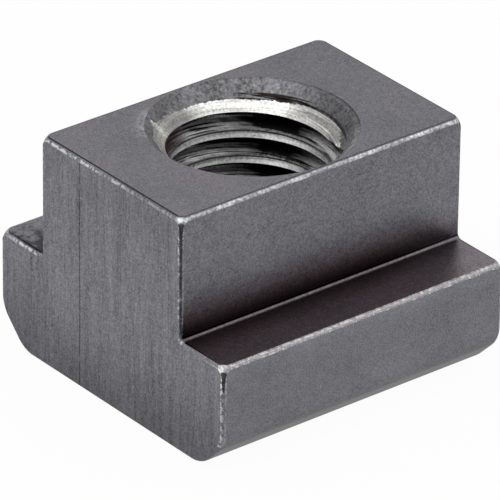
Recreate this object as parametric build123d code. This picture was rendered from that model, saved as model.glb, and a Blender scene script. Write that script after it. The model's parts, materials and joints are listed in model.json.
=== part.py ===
from build123d import *
from build123d.topology import SkipClean
import os
from math import ceil, radians, sqrt, tan

# T-slot nut for a 14 mm T-slot and an M12 screw, made in one piece from drawn steel bar.
# The neck slides in the mouth of the slot, the head catches under the slot's lips, and the
# lips bear on the two ledges. The hole is countersunk at both ends and tapped right through.
#
# Frame: X runs along the slot, Y across the head, and Z up the axis of the thread.
# The origin is the middle of the underside. Every size is in millimetres.

# What the nut fits
SLOT_WIDTH = 14.0  # mouth of the slot
SLOT_PLAY = 0.3  # the neck is this much narrower than the mouth

# The thread, a right-hand M12 x 1.75
TAP_DRILL = 10.2
THREAD_PITCH = 1.75
THREAD_DEPTH = 0.9  # the groove is cut this far into the drilled wall
THREAD_ANGLE = 60.0  # between the two flanks of the groove
THREAD_START = 0.97  # height of the middle of the lowest groove where it passes over +X

# The bar
HEAD_WIDTH = 22.0
HEAD_HEIGHT = 7.6  # from the underside up to the ledges
OVERALL_HEIGHT = 15.8  # from the underside up to the top of the neck
BODY_LENGTH = 21.7  # cut off the bar, along the slot
HEAD_CHAMFER = 2.25  # each leg of the 45 degree faces along the underside
CHAMFER_BLEND = 2.1  # radius along both edges of a chamfer
ROOT_FILLET = 0.28  # radius where the neck meets a ledge

# The mouths of the hole
COUNTERSINK_DIAMETER = 13.1
COUNTERSINK_ANGLE = 90.0  # full angle of the cone

# Tumbling
EDGE_RADIUS = 0.3  # every outer edge is broken to this
CORNER_RADIUS = 1.1  # ball that is left where three square edges meet
CORNER_STEP = 0.01  # the ball stays this much proud of the broken edges beside it

NECK_WIDTH = SLOT_WIDTH - SLOT_PLAY
OVERRUN = 1.0  # how far a cutter starts outside the face that it cuts
GROOVE_LIP = 0.1  # how far the groove's cutter starts inside the drilled wall
SAME = 1e-6  # two heights nearer than this are the same


def bar_section():
    """The T that the bar is drawn to, with its edges still sharp."""
    head, neck = HEAD_WIDTH / 2, NECK_WIDTH / 2
    outline = Polyline(
        (0, 0),
        (head - HEAD_CHAMFER, 0),
        (head, HEAD_CHAMFER),
        (head, HEAD_HEIGHT),
        (neck, HEAD_HEIGHT),
        (neck, OVERALL_HEIGHT),
        (0, OVERALL_HEIGHT),
        close=True,
    )
    half = Plane.YZ * make_face(outline)
    return half + mirror(half, about=Plane.XZ)


def edges_along(bar, y, z):
    """The two edges that run along X at a height z, at y on either side of the middle."""

    def lies_there(edge):
        middle = edge.center()
        return abs(abs(middle.Y) - y) < SAME and abs(middle.Z - z) < SAME

    return bar.edges().filter_by(Axis.X).filter_by(lies_there)


def cut_bar():
    """A nut's length of bar, with the radii that run the whole length of the bar."""
    bar = extrude(bar_section(), BODY_LENGTH / 2, both=True)
    under = edges_along(bar, HEAD_WIDTH / 2 - HEAD_CHAMFER, 0)
    beside = edges_along(bar, HEAD_WIDTH / 2, HEAD_CHAMFER)
    bar = fillet(under + beside, CHAMFER_BLEND)
    return fillet(edges_along(bar, NECK_WIDTH / 2, HEAD_HEIGHT), ROOT_FILLET)


def break_edges(bar):
    """Round both ends all the way about, and the long edges of the neck and of the head."""
    ends = bar.faces().filter_by(Axis.X).edges()
    neck_tops = edges_along(bar, NECK_WIDTH / 2, OVERALL_HEIGHT)
    ledge_rims = edges_along(bar, HEAD_WIDTH / 2, HEAD_HEIGHT)
    return fillet(ends + neck_tops + ledge_rims, EDGE_RADIUS)


def ball_inset():
    """How far in from the three faces of a corner the ball's centre lies.

    The ball then touches the crest of each broken edge, all but the step.
    """
    crest = EDGE_RADIUS * (sqrt(2) - 1)
    return (CORNER_RADIUS + crest) / sqrt(2) - CORNER_STEP


def blunt_corners(bar, width, height):
    """Wear down the four upper corners of a block of the bar, which is this wide and high."""
    inset = ball_inset()
    reach = inset + OVERRUN
    octant = Box(reach, reach, reach, align=Align.MIN) - Sphere(CORNER_RADIUS)
    x, y, z = BODY_LENGTH / 2 - inset, width / 2 - inset, height - inset
    corners = [(x, y), (-x, y), (-x, -y), (x, -y)]
    for quarter_turns, (x, y) in enumerate(corners):
        bar -= Pos(x, y, z) * Rot(Z=90 * quarter_turns) * octant
    return bar


def hole_quarter():
    """A quarter turn of the through hole before it is tapped, with the cone at each end."""
    hole, mouth = TAP_DRILL / 2, COUNTERSINK_DIAMETER / 2
    slope = tan(radians(COUNTERSINK_ANGLE / 2))
    depth = (mouth - hole) / slope
    flare = mouth + OVERRUN * slope
    outline = Polyline(
        (0, -OVERRUN),
        (flare, -OVERRUN),
        (hole, depth),
        (hole, OVERALL_HEIGHT - depth),
        (flare, OVERALL_HEIGHT + OVERRUN),
        (0, OVERALL_HEIGHT + OVERRUN),
        close=True,
    )
    return revolve(Plane.XZ * make_face(outline), Axis.Z, revolution_arc=90)


def groove_outline():
    """The groove across, with its middle at z = 0: two flanks and a flat root."""
    wall = TAP_DRILL / 2
    lip, root = wall - GROOVE_LIP, wall + THREAD_DEPTH
    flat = THREAD_PITCH / 16
    flare = flat + (root - lip) * tan(radians(THREAD_ANGLE / 2))
    return Polyline((lip, -flare), (root, -flat), (root, flat), (lip, flare), close=True)


def groove_turn():
    """One turn of the groove that the tap cuts, winding up from z = 0 over +X."""
    helix = Helix(THREAD_PITCH, THREAD_PITCH, TAP_DRILL / 2 + THREAD_DEPTH)
    return sweep(Plane.XZ * make_face(groove_outline()), path=helix, is_frenet=True)


def tap(nut):
    """Drill and countersink the nut, then wind the groove in below one end and out of the other.

    The drilled wall is left with a seam every 90 degrees, so each crest is in quarter turns.
    """
    quarter, turn = hole_quarter(), groove_turn()
    below = ceil(THREAD_START / THREAD_PITCH) + 1
    above = ceil((OVERALL_HEIGHT - THREAD_START) / THREAD_PITCH) + 1
    with SkipClean():
        for count in range(4):
            nut -= Rot(Z=90 * count) * quarter
        for count in range(-below, above):
            nut -= Pos(Z=THREAD_START + THREAD_PITCH * count) * turn
    return nut


def t_slot_nut():
    """The whole nut: one solid."""
    nut = break_edges(cut_bar())
    nut = blunt_corners(nut, NECK_WIDTH, OVERALL_HEIGHT)
    nut = blunt_corners(nut, HEAD_WIDTH, HEAD_HEIGHT)
    return tap(nut)


os.makedirs("parts", exist_ok=True)
export_step(t_slot_nut(), "parts/t_slot_nut.step")
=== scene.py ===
"""A T-slot nut of blackened steel: its shape, its tapped thread, its finishes and its studio.

Lengths are worked out in millimetres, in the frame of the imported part, and every mesh is turned
into metres when it is finished.
"""

from __future__ import annotations

import json
import logging
import math
from dataclasses import dataclass, field
from enum import IntEnum
from typing import Iterable, Mapping, Sequence

import bmesh
import bpy
from mathutils import Matrix, Vector

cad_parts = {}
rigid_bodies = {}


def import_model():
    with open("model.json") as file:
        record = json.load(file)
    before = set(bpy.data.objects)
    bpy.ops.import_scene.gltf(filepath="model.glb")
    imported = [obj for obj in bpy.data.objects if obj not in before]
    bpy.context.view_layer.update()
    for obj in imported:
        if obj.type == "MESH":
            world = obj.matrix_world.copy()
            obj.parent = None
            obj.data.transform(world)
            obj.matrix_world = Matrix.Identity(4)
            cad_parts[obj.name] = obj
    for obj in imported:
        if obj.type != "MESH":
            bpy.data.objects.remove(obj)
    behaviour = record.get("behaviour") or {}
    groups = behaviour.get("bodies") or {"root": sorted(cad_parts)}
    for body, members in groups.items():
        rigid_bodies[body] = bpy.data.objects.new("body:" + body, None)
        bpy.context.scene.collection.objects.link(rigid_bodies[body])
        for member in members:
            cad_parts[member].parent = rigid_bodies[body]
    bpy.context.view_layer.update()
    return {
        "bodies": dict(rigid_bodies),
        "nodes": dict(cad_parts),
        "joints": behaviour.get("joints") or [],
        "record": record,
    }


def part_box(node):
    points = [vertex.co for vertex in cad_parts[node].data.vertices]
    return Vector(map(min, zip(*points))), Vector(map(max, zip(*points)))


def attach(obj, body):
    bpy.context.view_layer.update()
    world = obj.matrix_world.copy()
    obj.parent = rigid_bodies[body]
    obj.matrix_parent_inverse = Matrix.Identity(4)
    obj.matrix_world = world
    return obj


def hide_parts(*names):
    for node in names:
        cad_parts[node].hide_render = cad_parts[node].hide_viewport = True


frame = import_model()

LOG = logging.getLogger("t_slot_nut")
MM = 0.001  # one millimetre in Blender's metres
NODE = "t_slot_nut"
SLOT = "blackened_steel"
BODY = "root"

Colour = tuple[float, float, float]
Socket = bpy.types.NodeSocket
Paint = Colour | Socket
Table = tuple[tuple[float, float], ...]
Ring = list[bmesh.types.BMVert]


class Surface(IntEnum):
    """The surfaces of the nut that are finished differently, in the order of its materials."""

    OUTSIDE = 0
    HOLE = 1


# ---------------------------------------------------------------------------------------------
# Sizes
# ---------------------------------------------------------------------------------------------


@dataclass(frozen=True)
class NutSizes:
    """Every size of the nut, in millimetres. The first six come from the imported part."""

    length: float
    head_width: float
    height: float
    neck_width: float
    head_height: float
    drilled_radius: float
    chamfer: float = 2.25
    chamfer_blend: float = 2.1
    root_fillet: float = 0.28
    edge_radius: float = 0.3
    corner_radius: float = 1.1
    corner_step: float = 0.01
    mouth_radius: float = 6.55
    pitch: float = 1.75
    thread_depth: float = 0.9
    thread_start: float = 0.97
    flank: float = math.radians(30)

    @classmethod
    def from_frame(cls, packed: Mapping[str, object]) -> NutSizes:
        """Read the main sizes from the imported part.

        Args:
            packed: What loading the frame gave.

        Returns:
            The sizes of this nut.
        """
        low, high = (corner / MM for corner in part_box(NODE))
        mounts = {mount["name"]: mount for mount in packed["record"]["mounts"]}
        return cls(
            length=high.x - low.x,
            head_width=high.y - low.y,
            height=high.z - low.z,
            neck_width=2 * abs(mounts["neck_side_left"]["pos_m"][1]) / MM,
            head_height=mounts["ledge_left"]["pos_m"][2] / MM,
            drilled_radius=mounts["thread"]["dims"]["r_mm"],
        )

    @property
    def corner_inset(self) -> float:
        """How far in from the faces of a corner the centre of its ball lies."""
        crest = self.edge_radius * (math.sqrt(2) - 1)
        return (self.corner_radius + crest) / math.sqrt(2) - self.corner_step

    @property
    def cone_depth(self) -> float:
        """Depth at which the cone runs out into the drilled hole."""
        return self.mouth_radius - self.drilled_radius

    @property
    def root_radius(self) -> float:
        """Radius at the bottom of the thread's groove."""
        return self.drilled_radius + self.thread_depth

    def groove_half(self, radius: float) -> float:
        """Half the width of the thread's full groove at this radius."""
        half_flat = self.pitch / 16
        return half_flat + (self.root_radius - radius) * math.tan(self.flank)


# ---------------------------------------------------------------------------------------------
# Mesh making
# ---------------------------------------------------------------------------------------------


class MeshMaker:
    """A mesh under construction, in millimetres."""

    def __init__(self) -> None:
        """Start with nothing."""
        self.bm = bmesh.new()

    def ring(self, points: Iterable[Sequence[float]]) -> Ring:
        """Add loose points, and return them in order."""
        return [self.bm.verts.new(point) for point in points]

    def bridge(self, first: Ring, second: Ring) -> None:
        """Join two closed rings of the same count with quads.

        Args:
            first: One ring.
            second: The other, in step with it.
        """
        count = len(first)
        for index in range(count):
            after = (index + 1) % count
            self.bm.faces.new((first[index], first[after], second[after], second[index]))

    def cap(self, ring: Ring) -> None:
        """Close a ring with one face."""
        self.bm.faces.new(ring)

    def loft(self, rings: Sequence[Ring]) -> None:
        """Join rings one after another, and close both ends.

        Args:
            rings: The rings, from one end to the other.
        """
        for first, second in zip(rings, rings[1:]):
            self.bridge(first, second)
        self.cap(rings[0])
        self.cap(rings[-1])

    def finish(self, name: str, weld: float = 1e-4) -> bpy.types.Mesh:
        """Weld what coincides, turn every face outwards and hand over the mesh.

        Args:
            name: Name of the mesh.
            weld: Points nearer than this become one.

        Returns:
            The finished mesh.
        """
        bmesh.ops.remove_doubles(self.bm, verts=self.bm.verts, dist=weld)
        bmesh.ops.dissolve_degenerate(self.bm, edges=self.bm.edges, dist=weld)
        bmesh.ops.recalc_face_normals(self.bm, faces=self.bm.faces)
        mesh = bpy.data.meshes.new(name)
        self.bm.to_mesh(mesh)
        self.bm.free()
        return mesh


def with_modifier(mesh: bpy.types.Mesh, kind: str, **settings: object) -> bpy.types.Mesh:
    """Put a mesh through one modifier.

    Args:
        mesh: The mesh to change. It is used up.
        kind: Blender's name for the modifier.
        **settings: The modifier's own settings.

    Returns:
        The changed mesh.
    """
    host = bpy.data.objects.new("workpiece", mesh)
    bpy.context.scene.collection.objects.link(host)
    modifier = host.modifiers.new("step", kind)
    for name, value in settings.items():
        setattr(modifier, name, value)
    graph = bpy.context.evaluated_depsgraph_get()
    result = bpy.data.meshes.new_from_object(host.evaluated_get(graph))
    bpy.data.objects.remove(host)
    bpy.data.meshes.remove(mesh)
    return result


def cut(mesh: bpy.types.Mesh, cutter: bpy.types.Mesh) -> bpy.types.Mesh:
    """Take one mesh away from another.

    Args:
        mesh: What is cut. It is used up.
        cutter: What is taken away. It is used up.

    Returns:
        What is left.
    """
    tool = bpy.data.objects.new("cutter", cutter)
    bpy.context.scene.collection.objects.link(tool)
    result = with_modifier(mesh, "BOOLEAN", operation="DIFFERENCE", solver="EXACT", object=tool)
    bpy.data.objects.remove(tool)
    bpy.data.meshes.remove(cutter)
    return result


# ---------------------------------------------------------------------------------------------
# The bar and what cuts it
# ---------------------------------------------------------------------------------------------


@dataclass(frozen=True)
class SectionCorner:
    """One corner of the bar's section and the radius that rounds it."""

    y: float
    z: float
    radius: float
    steps: int


@dataclass(frozen=True)
class Bar:
    """A nut's length of T-shaped bar, with every edge already broken."""

    sizes: NutSizes
    edge_steps: int = 8
    blend_steps: int = 14
    fillet_steps: int = 7

    def corners(self) -> list[SectionCorner]:
        """Go round the T section, anticlockwise when seen from the +X end.

        Returns:
            The corners in order.
        """
        s = self.sizes
        head, neck = s.head_width / 2, s.neck_width / 2
        right = [
            SectionCorner(head - s.chamfer, 0, s.chamfer_blend, self.blend_steps),
            SectionCorner(head, s.chamfer, s.chamfer_blend, self.blend_steps),
            SectionCorner(head, s.head_height, s.edge_radius, self.edge_steps),
            SectionCorner(neck, s.head_height, s.root_fillet, self.fillet_steps),
            SectionCorner(neck, s.height, s.edge_radius, self.edge_steps),
        ]
        left = [SectionCorner(-c.y, c.z, c.radius, c.steps) for c in reversed(right)]
        return right + left

    def section(self) -> list[tuple[Vector, Vector]]:
        """Round the corners of the section.

        Returns:
            Points of the outline, each with the direction that looks out of the steel there.
        """
        corners = self.corners()
        outline = []
        for index, corner in enumerate(corners):
            before, after = corners[index - 1], corners[(index + 1) % len(corners)]
            arrive = Vector((corner.y - before.y, corner.z - before.z)).normalized()
            leave = Vector((after.y - corner.y, after.z - corner.z)).normalized()
            turn = math.atan2(arrive.x * leave.y - arrive.y * leave.x, arrive.dot(leave))
            side = math.copysign(1, turn)
            reach = corner.radius * math.tan(abs(turn) / 2)
            outward = Vector((arrive.y, -arrive.x))
            centre = Vector((corner.y, corner.z)) - arrive * reach
            centre -= outward * corner.radius * side
            for step in range(corner.steps + 1):
                normal = Matrix.Rotation(turn * step / corner.steps, 2) @ outward
                outline.append((centre + normal * corner.radius * side, normal))
        return outline

    def stations(self) -> list[tuple[float, float]]:
        """Step along the bar and over the broken edge of each end.

        Returns:
            Places along X, each with how far the outline has drawn in there.
        """
        radius = self.sizes.edge_radius
        angles = [math.pi / 2 * step / self.edge_steps for step in range(self.edge_steps + 1)]
        inner = self.sizes.length / 2 - radius
        far = [(inner + radius * math.sin(a), radius * (1 - math.cos(a))) for a in angles]
        return [(-x, inset) for x, inset in reversed(far)] + far

    def mesh(self) -> bpy.types.Mesh:
        """Draw the outline along the bar and over both ends.

        Returns:
            The bar.
        """
        maker = MeshMaker()
        outline = self.section()
        rings = [
            maker.ring((x, *(point - normal * inset)) for point, normal in outline)
            for x, inset in self.stations()
        ]
        maker.loft(rings)
        return maker.finish("bar")


@dataclass(frozen=True)
class CornerCutters:
    """What wears the upper corners down to balls: a cube's corner round a ball, at each."""

    sizes: NutSizes
    overrun: float = 1.0
    segments: int = 128

    def octant(self) -> bpy.types.Mesh:
        """Take a ball out of the corner of a cube.

        Returns:
            The cutter, with the middle of the ball at its origin.
        """
        reach = self.sizes.corner_inset + self.overrun
        cube = MeshMaker()
        bmesh.ops.create_cube(cube.bm, size=reach)
        bmesh.ops.translate(cube.bm, verts=cube.bm.verts, vec=Vector((reach, reach, reach)) / 2)
        ball = MeshMaker()
        bmesh.ops.create_uvsphere(
            ball.bm,
            u_segments=self.segments,
            v_segments=self.segments // 2,
            radius=self.sizes.corner_radius,
        )
        return cut(cube.finish("cube"), ball.finish("ball"))

    def places(self) -> list[Matrix]:
        """Find where the cutters go: four on top of the neck and four on the ledges.

        Returns:
            The place and the turn of each.
        """
        s = self.sizes
        inset = s.corner_inset
        placed = []
        for width, height in ((s.neck_width, s.height), (s.head_width, s.head_height)):
            x, y, z = s.length / 2 - inset, width / 2 - inset, height - inset
            for quarter, (cx, cy) in enumerate(((x, y), (-x, y), (-x, -y), (x, -y))):
                turn = Matrix.Rotation(math.pi / 2 * quarter, 4, "Z")
                placed.append(Matrix.Translation((cx, cy, z)) @ turn)
        return placed

    def mesh(self) -> bpy.types.Mesh:
        """Gather all eight cutters.

        Returns:
            The cutters, as one mesh.
        """
        octant = self.octant()
        gathered = bmesh.new()
        for place in self.places():
            copy = octant.copy()
            copy.transform(place)
            gathered.from_mesh(copy)
            bpy.data.meshes.remove(copy)
        mesh = bpy.data.meshes.new("corner_cutters")
        gathered.to_mesh(mesh)
        gathered.free()
        bpy.data.meshes.remove(octant)
        return mesh


@dataclass(frozen=True)
class TurnedHole:
    """The drilled hole with a cone at each mouth, as a turned cutter."""

    sizes: NutSizes
    segments: int = 160
    overrun: float = 1.0

    def mesh(self) -> bpy.types.Mesh:
        """Turn the outline of the hole.

        Returns:
            The cutter.
        """
        s = self.sizes
        flare = s.mouth_radius + self.overrun
        outline = (
            (flare, -self.overrun),
            (s.drilled_radius, s.cone_depth),
            (s.drilled_radius, s.height - s.cone_depth),
            (flare, s.height + self.overrun),
        )
        maker = MeshMaker()
        rings = []
        angles = [2 * math.pi * k / self.segments for k in range(self.segments)]
        for r, z in outline:
            rings.append(maker.ring((r * math.cos(a), r * math.sin(a), z) for a in angles))
        maker.loft(rings)
        return maker.finish("hole")


@dataclass(frozen=True)
class ThreadGroove:
    """The groove of a right-hand ISO thread, wound through the hole and out of both ends.

    It is shallower by a fade where it runs out into either cone.
    """

    sizes: NutSizes
    segments: int = 160
    overrun: float = 1.3
    clearance: float = 0.25
    worn: float = 0.16
    fade: float = 0.3
    full_depth: float = 1.8
    faded_depth: float = 1.1

    def root_at(self, middle: float) -> float:
        """Find how deep the groove is cut at one height.

        Args:
            middle: Height of the middle of the groove.

        Returns:
            Its radius at the bottom.
        """
        depth = min(middle, self.sizes.height - middle)
        share = (self.full_depth - depth) / (self.full_depth - self.faded_depth)
        return self.sizes.root_radius - self.fade * min(max(share, 0), 1)

    def section(self, root: float) -> tuple[tuple[float, float], ...]:
        """The groove across, for one radius at its bottom.

        Args:
            root: The radius at the bottom of the groove.

        Returns:
            Radius, and height from the middle, of each corner. The crest below the groove has
            its upper corner worn off at 45 degrees.
        """
        s = self.sizes
        inner = s.drilled_radius - self.clearance
        corner = s.drilled_radius + self.worn
        start, bottom = s.groove_half(corner), s.groove_half(root)
        return (
            (inner, -start - self.worn - self.clearance),
            (corner, -start),
            (root, -bottom),
            (root, bottom),
            (inner, s.groove_half(inner)),
        )

    def height_at(self, angle: float) -> float:
        """Height of the middle of the groove after turning this far."""
        return self.sizes.thread_start + self.sizes.pitch * angle / (2 * math.pi)

    def mesh(self) -> bpy.types.Mesh:
        """Wind the groove.

        Returns:
            The cutter.
        """
        s = self.sizes
        step = 2 * math.pi / self.segments
        turns_below = (self.height_at(0) + self.overrun) / s.pitch
        turns_above = (s.height + self.overrun - self.height_at(0)) / s.pitch
        first = -math.ceil(turns_below * self.segments)
        last = math.ceil(turns_above * self.segments)
        maker = MeshMaker()
        rings = []
        for count in range(first, last + 1):
            angle = count * step
            middle = self.height_at(angle)
            across, along = math.cos(angle), math.sin(angle)
            section = self.section(self.root_at(middle))
            rings.append(maker.ring((r * across, r * along, middle + z) for r, z in section))
        maker.loft(rings)
        return maker.finish("groove")


# ---------------------------------------------------------------------------------------------
# Shader maths
# ---------------------------------------------------------------------------------------------


class Wire:
    """A number that varies over a surface. Working with it adds Math nodes."""

    def __init__(self, graph: Graph, socket: Socket) -> None:
        """Wrap the socket that the number comes out of."""
        self.graph = graph
        self.socket = socket

    def _math(self, operation: str, *values: Number, clamp: bool = False) -> Wire:
        """Add one Math node."""
        settings = {"operation": operation, "use_clamp": clamp}
        return self.graph.wire("ShaderNodeMath", settings, dict(enumerate(values)))

    def __add__(self, other: Number) -> Wire:
        """Sum."""
        return self._math("ADD", self, other)

    def __radd__(self, other: Number) -> Wire:
        """Sum, with a plain number in front."""
        return self._math("ADD", other, self)

    def __sub__(self, other: Number) -> Wire:
        """Difference."""
        return self._math("SUBTRACT", self, other)

    def __rsub__(self, other: Number) -> Wire:
        """Difference, with a plain number in front."""
        return self._math("SUBTRACT", other, self)

    def __mul__(self, other: Number) -> Wire:
        """Product."""
        return self._math("MULTIPLY", self, other)

    def __rmul__(self, other: Number) -> Wire:
        """Product, with a plain number in front."""
        return self._math("MULTIPLY", other, self)

    def __truediv__(self, other: Number) -> Wire:
        """Quotient."""
        return self._math("DIVIDE", self, other)

    def __abs__(self) -> Wire:
        """Size without sign."""
        return self._math("ABSOLUTE", self)

    def at_least(self, other: Number) -> Wire:
        """The larger of two."""
        return self._math("MAXIMUM", self, other)

    def fraction(self) -> Wire:
        """What is left above the whole number below."""
        return self._math("FRACT", self)

    def clamped(self) -> Wire:
        """Kept from 0 to 1."""
        return self._math("ADD", self, 0.0, clamp=True)

    def rise(self, start: float, end: float) -> Wire:
        """Go smoothly from 0 to 1.

        Args:
            start: Where it leaves 0.
            end: Where it reaches 1. When this is the lower of the two, it falls.

        Returns:
            From 0 to 1.
        """
        settings = {"interpolation_type": "SMOOTHSTEP"}
        low, high, flip = (start, end, False) if end > start else (end, start, True)
        sockets = {"Value": self, "From Min": low, "From Max": high}
        result = self.graph.wire("ShaderNodeMapRange", settings, sockets)
        return 1 - result if flip else result

    def band(self, low: float, high: float, soft: float) -> Wire:
        """1 from low to high, fading to 0 outside over a soft margin."""
        return self.rise(low - soft, low) * self.rise(high + soft, high)

    def looked_up(self, table: Table) -> Wire:
        """Follow straight lines between the points of a table.

        Args:
            table: Pairs of this number, from low to high, and what it gives there, 0 or more.

        Returns:
            What the table gives here.
        """
        first, last = table[0][0], table[-1][0]
        most = max(value for _, value in table)
        stops = [((place - first) / (last - first), value / most) for place, value in table]
        share = (self - first) / (last - first)
        return self.graph.wire("ShaderNodeValToRGB", {"stops": stops}, {0: share}) * most


Number = float | Wire


class Graph:
    """The nodes of one material or world."""

    def __init__(self, tree: bpy.types.NodeTree) -> None:
        """Start with an empty tree."""
        self.tree = tree
        tree.nodes.clear()

    def node(
        self,
        kind: str,
        settings: Mapping[str, object] | None = None,
        sockets: Mapping[str | int, object] | None = None,
    ) -> bpy.types.Node:
        """Add a node.

        Args:
            kind: Blender's name for the node.
            settings: The node's own settings, which are set first.
            sockets: A value, socket or wire for each input, by name or place.

        Returns:
            The new node.
        """
        made = self.tree.nodes.new(kind)
        for name, value in (settings or {}).items():
            if name == "stops":
                self._set_stops(made.color_ramp, value)
            else:
                setattr(made, name, value)
        for name, value in (sockets or {}).items():
            source = value.socket if isinstance(value, Wire) else value
            if isinstance(source, Socket):
                self.tree.links.new(source, made.inputs[name])
            else:
                made.inputs[name].default_value = source
        return made

    @staticmethod
    def _set_stops(ramp: bpy.types.ColorRamp, stops: Sequence[tuple[float, float]]) -> None:
        """Give a ramp its stops.

        Args:
            ramp: The ramp.
            stops: A place and a grey for each, from low to high.
        """
        while len(ramp.elements) < len(stops):
            ramp.elements.new(0.5)
        for element, (place, _) in zip(ramp.elements, stops):
            element.position = place
        for element, (_, grey) in zip(ramp.elements, stops):
            element.color = (grey, grey, grey, 1)

    def wire(
        self,
        kind: str,
        settings: Mapping[str, object] | None = None,
        sockets: Mapping[str | int, object] | None = None,
        output: str | int = 0,
    ) -> Wire:
        """Add a node and take one of its outputs as a number."""
        return Wire(self, self.node(kind, settings, sockets).outputs[output])

    def vector(self, operation: str, sockets: Mapping[str | int, object]) -> Socket:
        """Add one Vector Math node and take the vector that it gives."""
        return self.node("ShaderNodeVectorMath", {"operation": operation}, sockets).outputs[0]

    def parts(self, vector: Socket) -> tuple[Wire, ...]:
        """Take a vector apart into its three numbers."""
        split = self.node("ShaderNodeSeparateXYZ", {}, {0: vector})
        return tuple(Wire(self, split.outputs[axis]) for axis in "XYZ")

    def stretched(self, where: Socket, scale: Sequence[float]) -> Socket:
        """Scale a place unevenly, so that a pattern on it is drawn out."""
        return self.vector("MULTIPLY", {0: where, 1: scale})

    def noise(
        self,
        where: Socket,
        scale: float = 1.0,
        detail: float = 2.0,
        roughness: float = 0.5,
    ) -> Wire:
        """Cloudy noise from about 0.2 to 0.8, with this many patches to a millimetre."""
        sockets = {"Vector": where, "Scale": scale, "Detail": detail, "Roughness": roughness}
        return self.wire("ShaderNodeTexNoise", {}, sockets)

    def tone(self, colour: Paint, amount: Wire) -> Socket:
        """Make a colour lighter or darker."""
        return self.vector("SCALE", {0: colour, "Scale": amount})

    def mix(self, share: Wire, under: Paint, over: Paint) -> Socket:
        """Lay one colour over another where share is 1."""
        sockets = {0: share, 6: self._rgba(under), 7: self._rgba(over)}
        return self.node("ShaderNodeMix", {"data_type": "RGBA"}, sockets).outputs[2]

    @staticmethod
    def _rgba(colour: Paint) -> object:
        """A colour as a colour socket takes it."""
        return colour if isinstance(colour, Socket) else (*colour, 1.0)


class Spot:
    """The place on the nut that is being shaded, in millimetres, and the way it looks there.

    The bearing goes round the axis of the thread from -180 to 180 degrees, with 0 on +X. The
    climb is what the thread rises from +X to that bearing.
    """

    def __init__(self, graph: Graph, sizes: NutSizes) -> None:
        """Read the place and the way that the surface looks.

        Args:
            graph: The material's nodes.
            sizes: The sizes of the nut.
        """
        self.graph = graph
        self.sizes = sizes
        source = graph.node("ShaderNodeTexCoord")
        self.here = graph.vector("SCALE", {0: source.outputs["Object"], "Scale": 1 / MM})
        self.flat = graph.stretched(self.here, (1, 1, 0))
        self.x, self.y, self.z = graph.parts(self.here)
        facing_x, facing_y, self.upwards = graph.parts(source.outputs["Normal"])
        self.endways = abs(facing_x)
        self.sideways = abs(facing_y)
        self.depth = sizes.height - self.z
        self.above_ledge = self.z - sizes.head_height
        length = {"operation": "LENGTH"}
        self.radius = graph.wire("ShaderNodeVectorMath", length, {0: self.flat}, "Value")
        angle = graph.wire("ShaderNodeMath", {"operation": "ARCTAN2"}, {0: self.y, 1: self.x})
        self.bearing = angle * (180 / math.pi)
        self.climb = self.bearing * (sizes.pitch / 360)

    def on_ends(self) -> Wire:
        """1 on both sawn ends."""
        return self.endways.rise(0.7, 0.9)

    def on_sides(self) -> Wire:
        """1 on the upright sides of the neck and of the head."""
        return self.sideways.rise(0.7, 0.95)

    def on_top(self) -> Wire:
        """1 on the flat top of the neck."""
        return self.upwards.rise(0.8, 0.95) * self.depth.rise(0.3, 0.1)

    def noise(self, scale: float, detail: float = 2.0, roughness: float = 0.5) -> Wire:
        """Cloudy noise with this many patches to a millimetre."""
        return self.graph.noise(self.here, scale, detail, roughness)

    def drawn(
        self, scale: tuple[float, float, float], detail: float = 2.0, roughness: float = 0.5
    ) -> Wire:
        """Drawn-out noise, with this many patches to a millimetre along X, Y and Z."""
        return self.graph.noise(self.graph.stretched(self.here, scale), 1.0, detail, roughness)

    def wound(
        self, around: float, across: float, detail: float = 2.0, roughness: float = 0.5
    ) -> Wire:
        """Noise that runs round the hole with the turns of the thread.

        Args:
            around: Patches to a millimetre of the way round.
            across: Patches to a millimetre down the hole, and outwards.
            detail: How many finer layers it has.
            roughness: How strong the finer layers are.

        Returns:
            From about 0.2 to 0.8.
        """
        along_x, along_y, _ = self.graph.parts(self.graph.vector("NORMALIZE", {0: self.flat}))
        reach = self.sizes.drilled_radius * around
        place = {
            "X": along_x * reach + self.radius * across,
            "Y": along_y * reach,
            "Z": (self.z - self.climb) * across,
        }
        where = self.graph.node("ShaderNodeCombineXYZ", {}, place).outputs[0]
        return self.graph.noise(where, 1.0, detail, roughness)


# ---------------------------------------------------------------------------------------------
# Finishes
# ---------------------------------------------------------------------------------------------


@dataclass(frozen=True)
class SteelFinish:
    """What every finish of the nut shares."""

    sizes: NutSizes
    name: str
    glance: Colour = (0.60, 0.59, 0.58)

    def shader(
        self,
        graph: Graph,
        colour: Socket,
        roughness: Wire,
        height: Wire,
        relief: float,
        metallic: Number = 1.0,
    ) -> None:
        """Close the material.

        Args:
            graph: The material's nodes.
            colour: The metal's colour.
            roughness: How dull it is.
            height: Its small relief, from 0 to 1.
            relief: How high 1 is, in metres.
            metallic: How much of it shines as metal does.
        """
        dents = {"Strength": 1.0, "Distance": relief, "Height": height}
        bump = graph.node("ShaderNodeBump", {}, dents)
        steel = graph.node(
            "ShaderNodeBsdfPrincipled",
            {},
            {
                "Base Color": colour,
                "Metallic": metallic,
                "Roughness": roughness,
                "Specular Tint": (*self.glance, 1),
                "Normal": bump.outputs["Normal"],
            },
        )
        graph.node("ShaderNodeOutputMaterial", {}, {"Surface": steel.outputs[0]})

    def material(self) -> bpy.types.Material:
        """Make the material of this finish.

        Returns:
            The new material.
        """
        made = bpy.data.materials.new(self.name)
        made.use_nodes = True
        self.build(Graph(made.node_tree))
        return made

    def build(self, graph: Graph) -> None:
        """Add the nodes of this finish."""
        raise NotImplementedError


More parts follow.
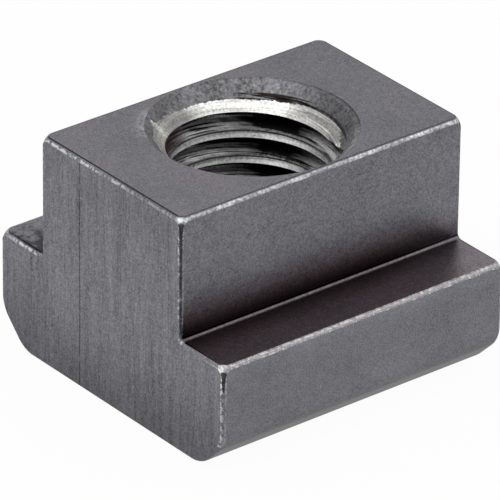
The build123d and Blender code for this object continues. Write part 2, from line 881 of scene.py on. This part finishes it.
@dataclass(frozen=True)
class EdgeWearAndPaintedLight:
    """Where tumbling has rubbed the broken edges bare, with painted highlights on them, and the
    painted shade lines beside them.

    A turn is 1 in the middle of a broken edge and 0 on the faces beside it. A lean goes from
    -1 on one of those faces to 1 on the other.
    """

    spot: Spot
    nicks: Wire
    patches: Wire

    def top_sides(self) -> tuple[Wire, Wire]:
        """The long edges of the neck's top: a silvery band, rubbed bare and with a painted
        highlight, with a thin line of painted shade above it.

        Returns:
            How bright and how black they are.
        """
        spot = self.spot
        turn = 2 * spot.sideways * spot.upwards * spot.depth.rise(1.0, 0.9)
        lean = spot.sideways - spot.upwards
        band = turn.rise(0.1, 0.5) * lean.rise(-0.55, -0.1)
        chips = 0.2 + 0.8 * self.nicks.rise(0.40, 0.62)
        rubbed = band * chips * (0.55 + 0.45 * self.patches.rise(0.4, 0.6))
        # painted shade: a thin dark line between the band and the top face
        line = lean.band(-0.93, -0.6, 0.1) * turn.rise(0.02, 0.15)
        return rubbed, 0.55 * line

    def ledge_rims(self) -> tuple[Wire, Wire]:
        """The long outer edges of the ledges: two bright lines, partly rubbed bare and partly
        painted highlight, with grey between them and a thin line of painted shade.

        Returns:
            How bright and how black they are.
        """
        spot, side = self.spot, self.spot.sizes.head_width / 2
        rim = abs(spot.y).rise(side - 1.0, side - 0.9) * spot.above_ledge.rise(0.1, 0.0)
        turn = 2 * spot.sideways * spot.upwards * rim
        lean = spot.sideways - spot.upwards
        chips = 0.1 + 0.6 * self.nicks.rise(0.42, 0.6)
        upper = turn.rise(0.1, 0.4) * lean.rise(0.35, -0.15) * chips
        lower = 0.8 * turn.rise(0.1, 0.3) * lean.rise(0.1, 0.5) * self.nicks.rise(0.50, 0.60)
        middle = 0.22 * turn.rise(0.3, 0.6)
        # painted shade: a thin dark line on the rim
        line = lean.band(-0.97, -0.75, 0.05) * turn
        return upper.at_least(lower).at_least(middle), 0.5 * line

    def end_tops(self) -> tuple[Wire, Wire]:
        """The upper edges of both ends: a line of painted shade above a row of bright rubbed
        specks, and a painted dark crown on the upper corners.

        Returns:
            How bright and how black they are.
        """
        spot, side = self.spot, self.spot.sizes.neck_width / 2
        neck = spot.depth.rise(1.0, 0.9)
        ledge = abs(spot.y).rise(side, side + 0.1) * abs(spot.above_ledge).rise(1.0, 0.9)
        turn = 2 * spot.endways * spot.upwards * neck.at_least(ledge)
        lean = spot.endways - spot.upwards
        specks = turn.rise(0.05, 0.25) * lean.rise(-0.15, 0.2) * self.nicks.rise(0.44, 0.56)
        specks = specks * neck.at_least(spot.y.rise(-1, 1))
        specks = specks * (0.3 + 0.6 * self.patches.rise(0.4, 0.6))
        # painted shade: a dark line above the specks
        line = turn.rise(0.03, 0.25) * lean.band(-0.80, -0.42, 0.12)
        line = line * (1 - spot.sideways.rise(0.12, 0.3))
        # painted shade: a dark crown on the upper corner balls
        crown = spot.depth.rise(0.10, 0.03) * spot.upwards.rise(0.85, 0.8)
        crown = crown * spot.sideways.rise(0.15, 0.3) * spot.endways.rise(0.1, 0.25)
        return specks, (0.95 * line).at_least(0.8 * crown)

    def uprights(self) -> tuple[Wire, Wire]:
        """The upright edges: a line of painted shade in the middle, a painted dark wedge near the
        top, and bright rubbed specks on either side.

        Returns:
            How bright and how black they are.
        """
        spot, s = self.spot, self.spot.sizes
        turn = 2 * spot.endways * spot.sideways * (1 - abs(spot.upwards).rise(0.45, 0.7))
        turn = turn * spot.z.rise(s.chamfer - 0.3, s.chamfer)
        lean = spot.sideways - spot.endways
        above = abs(spot.y).rise(s.neck_width / 2 + 0.2, s.neck_width / 2 + 0.1)
        drop = (s.height - s.head_height) * above - spot.above_ledge
        # painted shade: a dark wedge on the upright edges, a little below the top
        shade_wedge = 0.9 * (turn - 0.14 * drop.rise(0.3, 1.8)).rise(0.72, 0.84) * drop.rise(2.3, 1.4)
        # painted shade: a dark line down the middle of the upright edges
        line = turn.rise(0.80, 0.95) * (0.35 + 0.5 * self.patches.rise(0.65, 0.45) * above)
        worn = (self.nicks + 0.07 * (1 - above)).rise(0.50, 0.60)
        worn = worn * (0.3 + 0.7 * lean.rise(0.3, -0.3)) * (0.55 + 0.45 * drop.rise(2.5, 1.0))
        return turn.rise(0.1, 0.35) * worn, shade_wedge.at_least(line)

    def total(self) -> tuple[Wire, Wire]:
        """Put all the edges together.

        Returns:
            How bright and how black they are, each from 0 to 1.
        """
        parts = (self.top_sides(), self.ledge_rims(), self.end_tops(), self.uprights())
        bright, dark = parts[0]
        for more_bright, more_dark in parts[1:]:
            bright = bright.at_least(more_bright)
            dark = dark.at_least(more_dark)
        return bright.clamped(), dark.clamped()


@dataclass(frozen=True)
class BlackenedSteel(SteelFinish):
    """The outside: satin black oxide, rubbed bright along its edges, with painted highlights and
    painted shade on the edges and faces.
    """

    oxide: Colour = (0.163, 0.163, 0.178)
    brown: Colour = (0.172, 0.136, 0.148)
    bare: Colour = (0.66, 0.67, 0.67)
    # black is laid on as painted shade: the dark edge lines and the blotches in the ledge corner
    black: Colour = (0.012, 0.010, 0.012)
    score_place: float = 3.0
    relief_mm: float = 0.008

    def saw_marks(self, spot: Spot) -> Wire:
        """Streak both ends upright, as the saw left them.

        Args:
            spot: The place.

        Returns:
            How much paler it is there, from about -0.3 to 0.3.
        """
        broad = spot.drawn((0.5, 2.2, 0.16)) - 0.5
        fine = spot.drawn((1, 9.0, 0.8)) - 0.5
        scratch = spot.drawn((1, 5.0, 0.13), 1.0).rise(0.62, 0.70)
        return (0.62 * broad + 0.62 * fine - 0.18 * scratch) * spot.on_ends()

    def score(self, spot: Spot) -> Wire:
        """Draw one dark score line down the sawn end at -X.

        Args:
            spot: The place.

        Returns:
            1 in the line.
        """
        wander = spot.drawn((1, 1, 0.3)) - 0.5
        line = abs(spot.y - self.score_place + 0.08 * wander).rise(0.07, 0.02)
        broken = spot.drawn((1, 1, 1.2)).rise(0.28, 0.46)
        return line * broken * spot.x.rise(-9, -10) * spot.on_ends()

    def specks(self, spot: Spot, per_mm: float, size: float, share: float) -> Wire:
        """Scatter small round marks.

        Args:
            spot: The place.
            per_mm: Cells to a millimetre, of which each can hold one mark.
            size: Radius of a mark.
            share: The share of the cells that hold one.

        Returns:
            1 in a mark.
        """
        graph = spot.graph
        cells = graph.node("ShaderNodeTexVoronoi", {}, {"Vector": spot.here, "Scale": per_mm})
        chosen = graph.wire("ShaderNodeSeparateColor", {}, {0: cells.outputs["Color"]})
        near = Wire(graph, cells.outputs["Distance"]).rise(size * per_mm, 0.4 * size * per_mm)
        return near * chosen.rise(1 - share, 1 - 0.8 * share)

    def level(self, spot: Spot) -> Wire:
        """Paint light and shade into the oxide: paler on the top, the ledges and the head sides
        just under their rims, paler high on the ends and darker low on them, and painted shade by
        the roots, on the fillets and on the chamfers.

        Args:
            spot: The place.

        Returns:
            How pale it is, 1 on a plain side.
        """
        s = self.sizes
        above, side = spot.above_ledge, spot.on_sides()
        ends = spot.endways.rise(0.5, 0.9)
        # painted light and shade on the ends: paler high up, darker towards the bottom
        end_painted_light = 0.60 + 0.59 * spot.z.rise(-2.0, 7.5) - 0.09 * spot.z.rise(12.0, 15.0)
        # painted shade on the sides by the roots of the neck, weaker towards the +X end
        near = above.rise(-0.1, 0) * (0.82 * above.rise(1.9, 0.2) + 0.08 * above.rise(3.0, 2.0))
        root = side * near * (1 - 0.3 * spot.x.rise(5.0, s.length / 2))
        # painted light: the head sides lighter just under the ledge rims, and the ledges lighter
        rim = side * above.rise(-1.5, -0.2) * above.rise(0.1, 0.0)
        ledge = spot.upwards.rise(0.3, 0.8) * above.rise(-0.5, -0.2) * above.rise(1.0, 0.5)
        # painted shade on the root fillets, which dims their highlight
        fillet_shade = above.band(0.02, 0.25, 0.05) * spot.upwards.band(0.25, 0.95, 0.1)
        fillet_shade = fillet_shade * abs(spot.y).rise(s.head_width / 2 - 2, s.head_width / 2 - 3)
        # painted shade on the chamfers
        chamfer_shade = spot.z.rise(s.chamfer, s.chamfer - 0.3) * spot.sideways.rise(0.85, 0.75)
        chamfer_shade = chamfer_shade * (1 - ends)
        # painted light: the top a little paler
        faces = 1 + ends * (end_painted_light - 1) + 0.07 * spot.on_top() + 0.13 * rim + 0.12 * ledge
        return faces - root - 0.35 * fillet_shade - 0.16 * chamfer_shade

    def browned(self, spot: Spot, cloud: Wire) -> Wire:
        """Brown the oxide by the roots of the neck, on the ledges and faintly on the top.

        Args:
            spot: The place.
            cloud: Broad noise.

        Returns:
            How brown it is.
        """
        s, above, side = self.sizes, spot.above_ledge, spot.on_sides()
        beside = abs(spot.y).rise(s.neck_width / 2 - 0.1, s.neck_width / 2)
        neck = side * above.rise(2.6, 0.6) * above.rise(0.0, 0.05)
        ledge = (1 - side) * above.rise(-0.3, -0.1) * above.rise(1.0, 0.5)
        by_root = beside * neck.at_least(ledge) * (1 - spot.endways.rise(0.4, 0.8))
        fading = by_root * spot.y.rise(1.0, -1.0) * (1 - 0.6 * spot.x.rise(5.0, s.length / 2))
        top = 0.25 * cloud.rise(0.5, 0.65) * spot.on_top()
        return fading.at_least(top).clamped()

    def ledge_corner_shade(self, spot: Spot) -> Wire:
        """Paint shade in blotches in the corner of the ledge at +Y, where the dark neck is
        mirrored.

        Args:
            spot: The place.

        Returns:
            How much painted shade there is.
        """
        s, above = self.sizes, spot.above_ledge
        ledge = spot.upwards.rise(0.5, 0.9) * above.rise(-0.5, -0.2) * above.rise(0.6, 0.3)
        near = spot.y.rise(s.head_width / 2 - 0.2, s.neck_width / 2 + 0.3)
        blotch = (spot.noise(1.5, 4.0, 0.65) + 0.25 * near).rise(0.46, 0.74)
        return (0.75 * ledge * spot.y.rise(0, 1) * blotch).clamped()

    def scuff(self, spot: Spot) -> Wire:
        """Scuff the top where the tap caught it, beside the mouth towards -X and +Y.

        Args:
            spot: The place.

        Returns:
            How bare it is.
        """
        mouth = self.sizes.mouth_radius
        lobe = spot.bearing.band(131, 150, 12) * spot.radius.rise(mouth + 1.1, mouth - 0.4)
        worn = spot.drawn((3, 3, 0), 4.0, 0.7).rise(0.40, 0.62)
        return (0.5 * lobe * spot.depth.rise(0.3, 0.1) * worn).clamped()

    def build(self, graph: Graph) -> None:
        """Add the nodes of the outside.

        Args:
            graph: The material's nodes.
        """
        spot = Spot(graph, self.sizes)
        fine = spot.noise(9.0, 3.0, 0.7)
        mottle = spot.noise(2.4, 3.0)
        cloud = spot.noise(0.25)
        score = self.score(spot)
        tone = 1 + 2.3 * (fine - 0.5) + 0.45 * (mottle - 0.5) + 0.35 * (cloud - 0.5)
        tone = tone + self.saw_marks(spot)
        light = self.specks(spot, per_mm=0.9, size=0.07, share=0.25)
        dark = self.specks(spot, per_mm=0.55, size=0.11, share=0.25).at_least(1.4 * score)
        # self.level paints light and shade into the tone
        tone = tone * (1 + 0.7 * light) * (1 - 0.45 * dark) * self.level(spot)

        colour = graph.tone(graph.mix(self.browned(spot, cloud), self.oxide, self.brown), tone)
        # painted shade: black blotches in the corner of the ledge at +Y
        colour = graph.mix(self.ledge_corner_shade(spot), colour, self.black)
        colour = graph.mix(self.scuff(spot), colour, self.bare)

        nicks = spot.noise(4.0, 4.0, 0.65)
        # edges: bright is partly rubbed bare metal and partly painted highlight; black is painted
        # shade
        bright, black = EdgeWearAndPaintedLight(spot, nicks, spot.noise(0.6)).total()
        colour = graph.mix(bright, colour, graph.tone(self.bare, 0.75 + 0.5 * fine))
        colour = graph.mix(black, colour, self.black)
        rough = 0.32 + 0.16 * (fine - 0.5) + 0.08 * bright
        height = fine + 0.5 * mottle - 0.8 * score + 0.6 * nicks * bright
        self.shader(graph, colour, rough, height, self.relief_mm * MM)


@dataclass(frozen=True)
class MouthPaint:
    """What the hole's mouth looks like: where its oxide is left and where the tap bared it.

    The way down goes over the cone and on down the wall, and a millimetre inwards counts for
    less than one downwards. The edge says, by bearing, how far down the bare metal starts.
    """

    spot: Spot
    inward: float = 0.517
    rim: float = 0.05
    front_drop: float = 0.021
    edge: Table = (
        (-180, 2.7), (-47, 2.7), (-42, 2.35), (-34, 2.12), (-28, 2.02), (-20, 1.84),
        (-10, 1.58), (2, 1.44), (14, 1.44), (24, 1.60), (50, 1.62), (62, 1.52),
        (90, 1.42), (102, 1.36), (112, 1.15), (122, 0.98), (127, 0.88), (131, 0.45),
        (135, 0.85), (150, 0.82), (162, 1.15), (175, 1.8), (180, 1.8),
    )

    def way_down(self) -> Wire:
        """How far down the mouth the place is."""
        inwards = self.spot.sizes.mouth_radius + self.rim - self.spot.radius
        return self.spot.depth + self.inward * inwards

    def turned_depth(self) -> Wire:
        """Depth with the thread's climb taken out, so that a whole turn has one number."""
        return self.spot.depth + self.spot.climb

    def front_depth(self) -> Wire:
        """Depth with the slope of the bare band's front end taken out."""
        return self.spot.depth - self.front_drop * self.spot.bearing

    def first_crest(self) -> float:
        """Find the first ridge below the cone.

        Returns:
            The turned depth of its lower edge.
        """
        s = self.spot.sizes
        edge = (s.height - s.thread_start) % s.pitch - s.groove_half(s.drilled_radius)
        while edge < s.cone_depth:
            edge += s.pitch
        return edge

    def above_turns(self) -> Wire:
        """1 down to the lower edge of the first ridge, and 0 on the turns below it."""
        return self.turned_depth().rise(self.first_crest() + 0.03, self.first_crest() - 0.02)

    def bared(self, ragged: Wire) -> Wire:
        """Bare the metal below the edge, down to the lower edge of the first ridge.

        Args:
            ragged: The noise that tears the edge.

        Returns:
            1 where the metal is bare.
        """
        bearing = self.spot.bearing
        torn = 0.9 + 0.9 * bearing.rise(98, 115)
        past = self.way_down() - bearing.looked_up(self.edge) + torn * (ragged - 0.5)
        front = self.front_depth().rise(2.34, 2.26).at_least(bearing.rise(-18, -12))
        return past.rise(-0.05, 0.06) * self.above_turns() * front


@dataclass(frozen=True)
class HoleGrain:
    """The noises that the finishes of the hole share."""

    fine: Wire
    blobs: Wire
    lines: Wire
    bands: Wire

    @classmethod
    def at(cls, spot: Spot) -> HoleGrain:
        """Make fine grain and blobs, and lines and bands that run round the hole.

        Args:
            spot: The place.

        Returns:
            The four noises.
        """
        return cls(
            fine=spot.noise(5.5, 3.0, 0.65),
            blobs=spot.noise(2.6),
            lines=spot.wound(0.35, 8.0, 3.0, 0.6),
            bands=spot.wound(0.2, 2.6),
        )


@dataclass(frozen=True)
class HoleSteel(SteelFinish):
    """The mouth and the thread: speckled oxide, bare metal, and turns with painted highlights on
    their crests and painted shade on their flanks.

    The tables go by bearing and paint light and shade in. The first says how pale the oxide is
    painted, the second how bright the bare metal is painted, and the third how much grey light is
    painted on the flanks.
    """

    oxide: Colour = (0.170, 0.170, 0.180)
    # stain is partly a real stain and partly the painted shadow of the thread's run-out
    stain: Colour = (0.016, 0.010, 0.008)
    bare: Colour = (0.90, 0.89, 0.86)
    # ridge is the crests' painted highlight, grey the painted light on the flanks, and the dark
    # red-brown and black below are painted shade on the flanks
    ridge: Colour = (0.62, 0.62, 0.62)
    grey: Colour = (0.84, 0.83, 0.84)
    red_brown_shade: Colour = (0.045, 0.028, 0.030)
    black: Colour = (0.006, 0.005, 0.005)
    crest_tilt: float = 0.75
    relief_mm: float = 0.01
    # painted light and shade by bearing
    painted_oxide_light: Table = (
        (-180, 1.0), (-62, 1.3), (-44, 1.02), (-28, 0.56), (-5, 0.54), (12, 0.75),
        (35, 1.06), (92, 1.0), (102, 0.68), (118, 0.68), (130, 1.0), (180, 1.0),
    )
    painted_bare_light: Table = (
        (-180, 0.35), (-42, 0.50), (-34, 0.86), (-27, 0.36), (-5, 0.35), (18, 0.46),
        (32, 0.88), (82, 0.95), (94, 0.62), (101, 0.31), (120, 0.31), (127, 0.38),
        (131, 0.66), (135, 0.38), (155, 0.32), (180, 0.28),
    )
    painted_flank_light: Table = (
        (-180, 0.7), (-30, 0.7), (-4, 0.75), (10, 0.5), (24, 0.0), (48, 0.0),
        (60, 0.45), (72, 0.9), (96, 1.0), (106, 0.3), (116, 0.06), (180, 0.05),
    )

    def crest_place(self) -> float:
        """How far through a turn the crest starts, counted down from the edge of the one above."""
        return 2 * self.sizes.groove_half(self.sizes.drilled_radius) / self.sizes.pitch

    def turns(self, spot: Spot, grain: HoleGrain, through: Wire) -> Socket:
        """Colour the thread: crests with a painted highlight that grows towards their lower edge,
        over flanks of painted shade streaked with painted grey light.

        Args:
            spot: The place.
            grain: The noises.
            through: How far through the turn it is, from one crest's lower edge to the next.

        Returns:
            The colour.
        """
        graph, lines, start = spot.graph, grain.lines, self.crest_place()
        ragged = through + 0.26 * (lines - 0.5) + 0.20 * (grain.fine - 0.5)
        crest = ragged.rise(start - 0.09, start + 0.02)
        # painted highlight on the crests, brightest at their lower edge
        shine = 0.30 + 0.55 * ragged.rise(start, 0.95)
        shine = shine * (0.35 + 0.9 * lines + 1.3 * (grain.fine - 0.5))
        patches = spot.wound(0.6, 1.2)
        # painted light: grey streaks on the flanks, by bearing
        wander = spot.bearing + 34 * (patches - 0.5) + 22 * (lines - 0.5)
        flank_light = wander.looked_up(self.painted_flank_light) * (0.2 + 1.6 * grain.fine)
        flank_light = flank_light * (lines + 0.5 * (patches - 0.5)).rise(0.37, 0.58)
        flank_light = flank_light * ragged.rise(0.33, 0.41)
        # painted shade on the flanks: black, turning red-brown past about 100 degrees
        under = graph.mix(spot.bearing.rise(85, 110), self.black, self.red_brown_shade)
        flank = graph.mix(flank_light.clamped(), under, self.grey)
        return graph.mix(crest, flank, graph.tone(self.ridge, shine))

    def silver(self, spot: Spot, grain: HoleGrain) -> Socket:
        """Colour the bare metal, with painted light: white between +X and +Y, greyer on both sides
        of that, and brighter low down between -12 and 20 degrees.

        Args:
            spot: The place.
            grain: The noises.

        Returns:
            The colour.
        """
        streaks = 1 + 1.9 * (grain.lines - 0.5) + 1.2 * (grain.bands - 0.5)
        streaks = streaks + 1.7 * (grain.fine - 0.5)
        # painted light: the bare band brighter low down between -12 and 20 degrees, and at full
        # level past 28 degrees
        wall = 0.88 + 0.55 * spot.depth.rise(1.40, 1.56) * spot.bearing.band(-12, 20, 4)
        wall = wall.at_least(spot.bearing.rise(18, 28))
        level = spot.bearing.looked_up(self.painted_bare_light)
        return spot.graph.tone(self.bare, level * streaks * wall)

    def speckled(self, spot: Spot, paint: MouthPaint, grain: HoleGrain) -> Socket:
        """Colour the oxide, painted paler and darker by bearing, darker in a thin line along the
        rim, and with painted shade along the bare band's front end.

        Args:
            spot: The place.
            paint: The mouth's regions.
            grain: The noises.

        Returns:
            The colour.
        """
        # painted shade along the front end of the bare band
        lip = paint.front_depth().band(2.32, 2.46, 0.04) * spot.bearing.band(-46, -18, 5)
        rim = abs(spot.radius - self.sizes.mouth_radius + 0.03).rise(0.09, 0.02)
        rim_line_and_lip_shade = 0.8 * lip + 0.25 * rim * spot.bearing.band(-62, 50, 20)
        speckle = 1 + 1.5 * (grain.blobs - 0.5) + 3.0 * (grain.fine - 0.5)
        # the table paints light and shade on the cone by bearing
        level = spot.bearing.looked_up(self.painted_oxide_light) - rim_line_and_lip_shade
        return spot.graph.tone(self.oxide, level * speckle)

    def stain_and_run_out_shadow(self, spot: Spot, paint: MouthPaint) -> Wire:
        """1 in a dark broken stain, partly the painted shadow of the thread's run-out, at the foot
        of the cone, between +X and +Y.
        """
        arc = spot.bearing.band(16, 58, 8) * paint.way_down().band(1.14, 1.62, 0.06)
        return arc * spot.wound(0.8, 8.0).rise(0.38, 0.52)

    def low_cone(self, spot: Spot, grain: HoleGrain) -> Wire:
        """Find the cone at the lower mouth, where the oxide was left.

        Args:
            spot: The place.
            grain: The noises.

        Returns:
            1 on that cone, up to a ragged edge.
        """
        foot = self.sizes.cone_depth
        cone = abs(spot.radius + spot.z - self.sizes.mouth_radius).rise(0.08, 0.03)
        return cone * (spot.z + 0.5 * (grain.blobs - 0.5)).rise(foot, foot - 0.1)

    def build(self, graph: Graph) -> None:
        """Add the nodes of the hole.

        Args:
            graph: The material's nodes.
        """
        spot = Spot(graph, self.sizes)
        paint, grain = MouthPaint(spot), HoleGrain.at(spot)
        above = paint.above_turns()
        bared = paint.bared(0.25 * grain.blobs + 0.5 * grain.bands + 0.25 * grain.fine)
        speckle = self.speckled(spot, paint, grain)
        mouth = graph.mix(bared, speckle, self.silver(spot, grain))
        # a stain that is partly the painted shadow of the thread's run-out
        mouth = graph.mix((self.stain_and_run_out_shadow(spot, paint) * (1 - bared)).clamped(), mouth, self.stain)

        pitch = self.sizes.pitch
        through = ((paint.turned_depth() - paint.first_crest()) / pitch).fraction()
        colour = graph.mix(above, self.turns(spot, grain, through), mouth)
        colour = graph.mix(self.low_cone(spot, grain), colour, speckle)

        rough = 0.45 + 0.2 * (grain.fine - 0.5)
        metal = (0.95 - 0.2 * above + 0.1 * bared).clamped()
        lean = (through - self.crest_place()).at_least(0) * through.rise(1.0, 0.9995) * pitch
        height = 0.8 * grain.fine + 0.8 * grain.lines + lean * (self.crest_tilt / self.relief_mm)
        self.shader(graph, colour, rough, height, self.relief_mm * MM, metallic=metal)


# ---------------------------------------------------------------------------------------------
# The nut
# ---------------------------------------------------------------------------------------------


@dataclass
class Nut:
    """The whole nut, as one piece."""

    sizes: NutSizes
    name: str = "nut"
    crease: float = math.radians(30)
    flat_enough: float = 0.95
    piece: bpy.types.Object | None = field(default=None, init=False)

    def shape(self) -> bpy.types.Mesh:
        """Cut the bar, its corners, its hole and its thread.

        Returns:
            The nut, in millimetres.
        """
        mesh = Bar(self.sizes).mesh()
        mesh = cut(mesh, CornerCutters(self.sizes).mesh())
        mesh = cut(mesh, TurnedHole(self.sizes).mesh())
        return cut(mesh, ThreadGroove(self.sizes).mesh())

    def surface_at(self, centre: Vector, normal: Vector) -> Surface:
        """Say which surface a face belongs to.

        Args:
            centre: The middle of the face.
            normal: The way that the face looks.

        Returns:
            The surface.
        """
        radius = math.hypot(centre.x, centre.y)
        if radius > self.sizes.mouth_radius or abs(normal.z) > self.flat_enough:
            return Surface.OUTSIDE
        return Surface.HOLE

    def dress(self, mesh: bpy.types.Mesh) -> None:
        """Give every face its finish.

        Args:
            mesh: The nut, in millimetres.
        """
        for surface, finish in self.finishes().items():
            assert surface == len(mesh.materials)
            mesh.materials.append(finish.material())
        for face in mesh.polygons:
            face.material_index = self.surface_at(face.center, face.normal)

    def finishes(self) -> dict[Surface, SteelFinish]:
        """The finish of each surface."""
        return {
            Surface.OUTSIDE: BlackenedSteel(self.sizes, SLOT),
            Surface.HOLE: HoleSteel(self.sizes, "tapped_steel"),
        }

    def build(self) -> bpy.types.Object:
        """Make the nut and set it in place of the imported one.

        Returns:
            The nut.
        """
        mesh = self.shape()
        mesh.materials.clear()
        self.dress(mesh)
        mesh.transform(Matrix.Scale(MM, 4))
        mesh.shade_smooth()
        mesh.set_sharp_from_angle(angle=self.crease)
        weighting = {"mode": "FACE_AREA", "weight": 50, "keep_sharp": True}
        mesh = with_modifier(mesh, "WEIGHTED_NORMAL", **weighting)
        mesh.name = self.name
        self.piece = bpy.data.objects.new(self.name, mesh)
        bpy.context.scene.collection.objects.link(self.piece)
        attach(self.piece, BODY)
        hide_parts(NODE)
        LOG.info("%s: %d faces", self.name, len(mesh.polygons))
        return self.piece


# ---------------------------------------------------------------------------------------------
# The studio
# ---------------------------------------------------------------------------------------------


@dataclass(frozen=True)
class SoftBox:
    """A square lamp that looks at the nut."""

    name: str
    azimuth: float
    elevation: float
    share: float
    distance: float = 0.6
    width: float = 0.4

    def build(self, target: Vector) -> bpy.types.Object:
        """Hang the lamp.

        Args:
            target: What it looks at.

        Returns:
            The lamp.
        """
        lamp = bpy.data.lights.new(self.name, "AREA")
        lamp.shape = "SQUARE"
        lamp.size = self.width
        lamp.energy = self.share * (math.pi * self.distance) ** 2
        placed = bpy.data.objects.new(self.name, lamp)
        away = direction(self.azimuth, self.elevation)
        placed.location = target + away * self.distance
        placed.rotation_euler = away.to_track_quat("Z", "Y").to_euler()
        placed.visible_camera = False
        bpy.context.scene.collection.objects.link(placed)
        return placed


def direction(azimuth: float, elevation: float) -> Vector:
    """The way from the nut to something at this azimuth, from -Y towards +X, and elevation."""
    a, e = math.radians(azimuth), math.radians(elevation)
    return Vector((math.sin(a) * math.cos(e), -math.cos(a) * math.cos(e), math.sin(e)))


@dataclass(frozen=True)
class Studio:
    """Pale floor, white surround and soft lamps."""

    target: Vector
    room_level: float = 0.62
    floor_colour: Colour = (0.88, 0.88, 0.88)
    floor_white: float = 0.96
    floor_drop: float = 0.02 * MM
    floor_half: float = 3.0
    lamps: tuple[SoftBox, ...] = (
        SoftBox("key", -75, 50, 0.22),
        SoftBox("fill", 60, 35, 0.10),
        SoftBox("back", 170, 60, 0.12),
    )

    def shown(self, graph: Graph) -> Wire:
        """Tell where the surround is looked at from where it only gives light.

        Args:
            graph: The nodes that ask.

        Returns:
            1 where it is looked at or mirrored.
        """
        path = graph.node("ShaderNodeLightPath")
        rays = ("Is Camera Ray", "Is Glossy Ray", "Is Transmission Ray")
        seen = [Wire(graph, path.outputs[ray]) for ray in rays]
        return seen[0].at_least(seen[1]).at_least(seen[2])

    def build_world(self) -> None:
        """Make the white surround."""
        world = bpy.data.worlds.new("surround")
        world.use_nodes = True
        graph = Graph(world.node_tree)
        level = self.room_level + (1 - self.room_level) * self.shown(graph)
        sockets = {"Color": (1, 1, 1, 1), "Strength": level}
        white = graph.node("ShaderNodeBackground", {}, sockets)
        graph.node("ShaderNodeOutputWorld", {}, {"Surface": white.outputs[0]})
        bpy.context.scene.world = world

    def floor_material(self) -> bpy.types.Material:
        """Mix a floor that looks white, still takes the shadow and is clear from below.

        Returns:
            The material.
        """
        made = bpy.data.materials.new("pale_floor")
        made.use_nodes = True
        graph = Graph(made.node_tree)
        paint = graph.node("ShaderNodeBsdfDiffuse", {}, {"Color": (*self.floor_colour, 1)})
        white = graph.node("ShaderNodeEmission", {}, {"Color": (1, 1, 1, 1), "Strength": 1.0})
        share = self.shown(graph) * self.floor_white
        layers = {0: share, 1: paint.outputs[0], 2: white.outputs[0]}
        top = graph.node("ShaderNodeMixShader", {}, layers)
        clear = graph.node("ShaderNodeBsdfTransparent")
        side = graph.wire("ShaderNodeNewGeometry", output="Backfacing")
        sides = {0: side, 1: top.outputs[0], 2: clear.outputs[0]}
        both = graph.node("ShaderNodeMixShader", {}, sides)
        graph.node("ShaderNodeOutputMaterial", {}, {"Surface": both.outputs[0]})
        return made

    def build_floor(self) -> bpy.types.Object:
        """Lay the floor just under the nut.

        Returns:
            The floor.
        """
        maker = MeshMaker()
        half = self.floor_half
        corners = ((-half, -half), (half, -half), (half, half), (-half, half))
        maker.cap(maker.ring((x, y, -self.floor_drop) for x, y in corners))
        mesh = maker.finish("floor", weld=0)
        if mesh.polygons[0].normal.z < 0:
            mesh.flip_normals()
        mesh.materials.append(self.floor_material())
        floor = bpy.data.objects.new("floor", mesh)
        bpy.context.scene.collection.objects.link(floor)
        return floor

    def build(self) -> None:
        """Set up floor, surround, lamps and the plain view transform."""
        self.build_world()
        self.build_floor()
        for lamp in self.lamps:
            lamp.build(self.target)
        bpy.context.scene.view_settings.view_transform = "Standard"
        LOG.info("studio: %d lamps", len(self.lamps))


@dataclass(frozen=True)
class Camera:
    """A long lens that looks down on one end and one long side."""

    azimuth: float = -38.852
    elevation: float = 28.500
    roll: float = 0.684
    distance: float = 0.41306
    aim_right: float = -0.065 * MM
    aim_up: float = 6.395 * MM
    lens: float = 483.66
    sensor: float = 36.0

    def build(self) -> bpy.types.Object:
        """Place the camera and make it the scene's.

        Returns:
            The camera.
        """
        back = direction(self.azimuth, self.elevation)
        a = math.radians(self.azimuth)
        right = Vector((math.cos(a), math.sin(a), 0))
        up = back.cross(right)
        place = back * self.distance + right * self.aim_right + up * self.aim_up
        roll = math.radians(self.roll)
        level = right * math.cos(roll) + up * math.sin(roll)
        upright = up * math.cos(roll) - right * math.sin(roll)
        data = bpy.data.cameras.new("camera")
        data.lens = self.lens
        data.sensor_width = self.sensor
        data.clip_start = 0.01
        data.clip_end = 10
        camera = bpy.data.objects.new("camera", data)
        axes = Matrix((level, upright, back)).transposed()
        camera.matrix_world = Matrix.Translation(place) @ axes.to_4x4()
        bpy.context.scene.collection.objects.link(camera)
        bpy.context.scene.camera = camera
        return camera


def main() -> None:
    """Build the camera, the nut and the studio, in that order."""
    logging.basicConfig(level=logging.INFO, format="%(name)s %(message)s")
    Camera().build()
    sizes = NutSizes.from_frame(frame)
    Nut(sizes).build()
    Studio(target=Vector((0, 0, sizes.height / 2 * MM))).build()


if __name__ == "__main__":
    main()
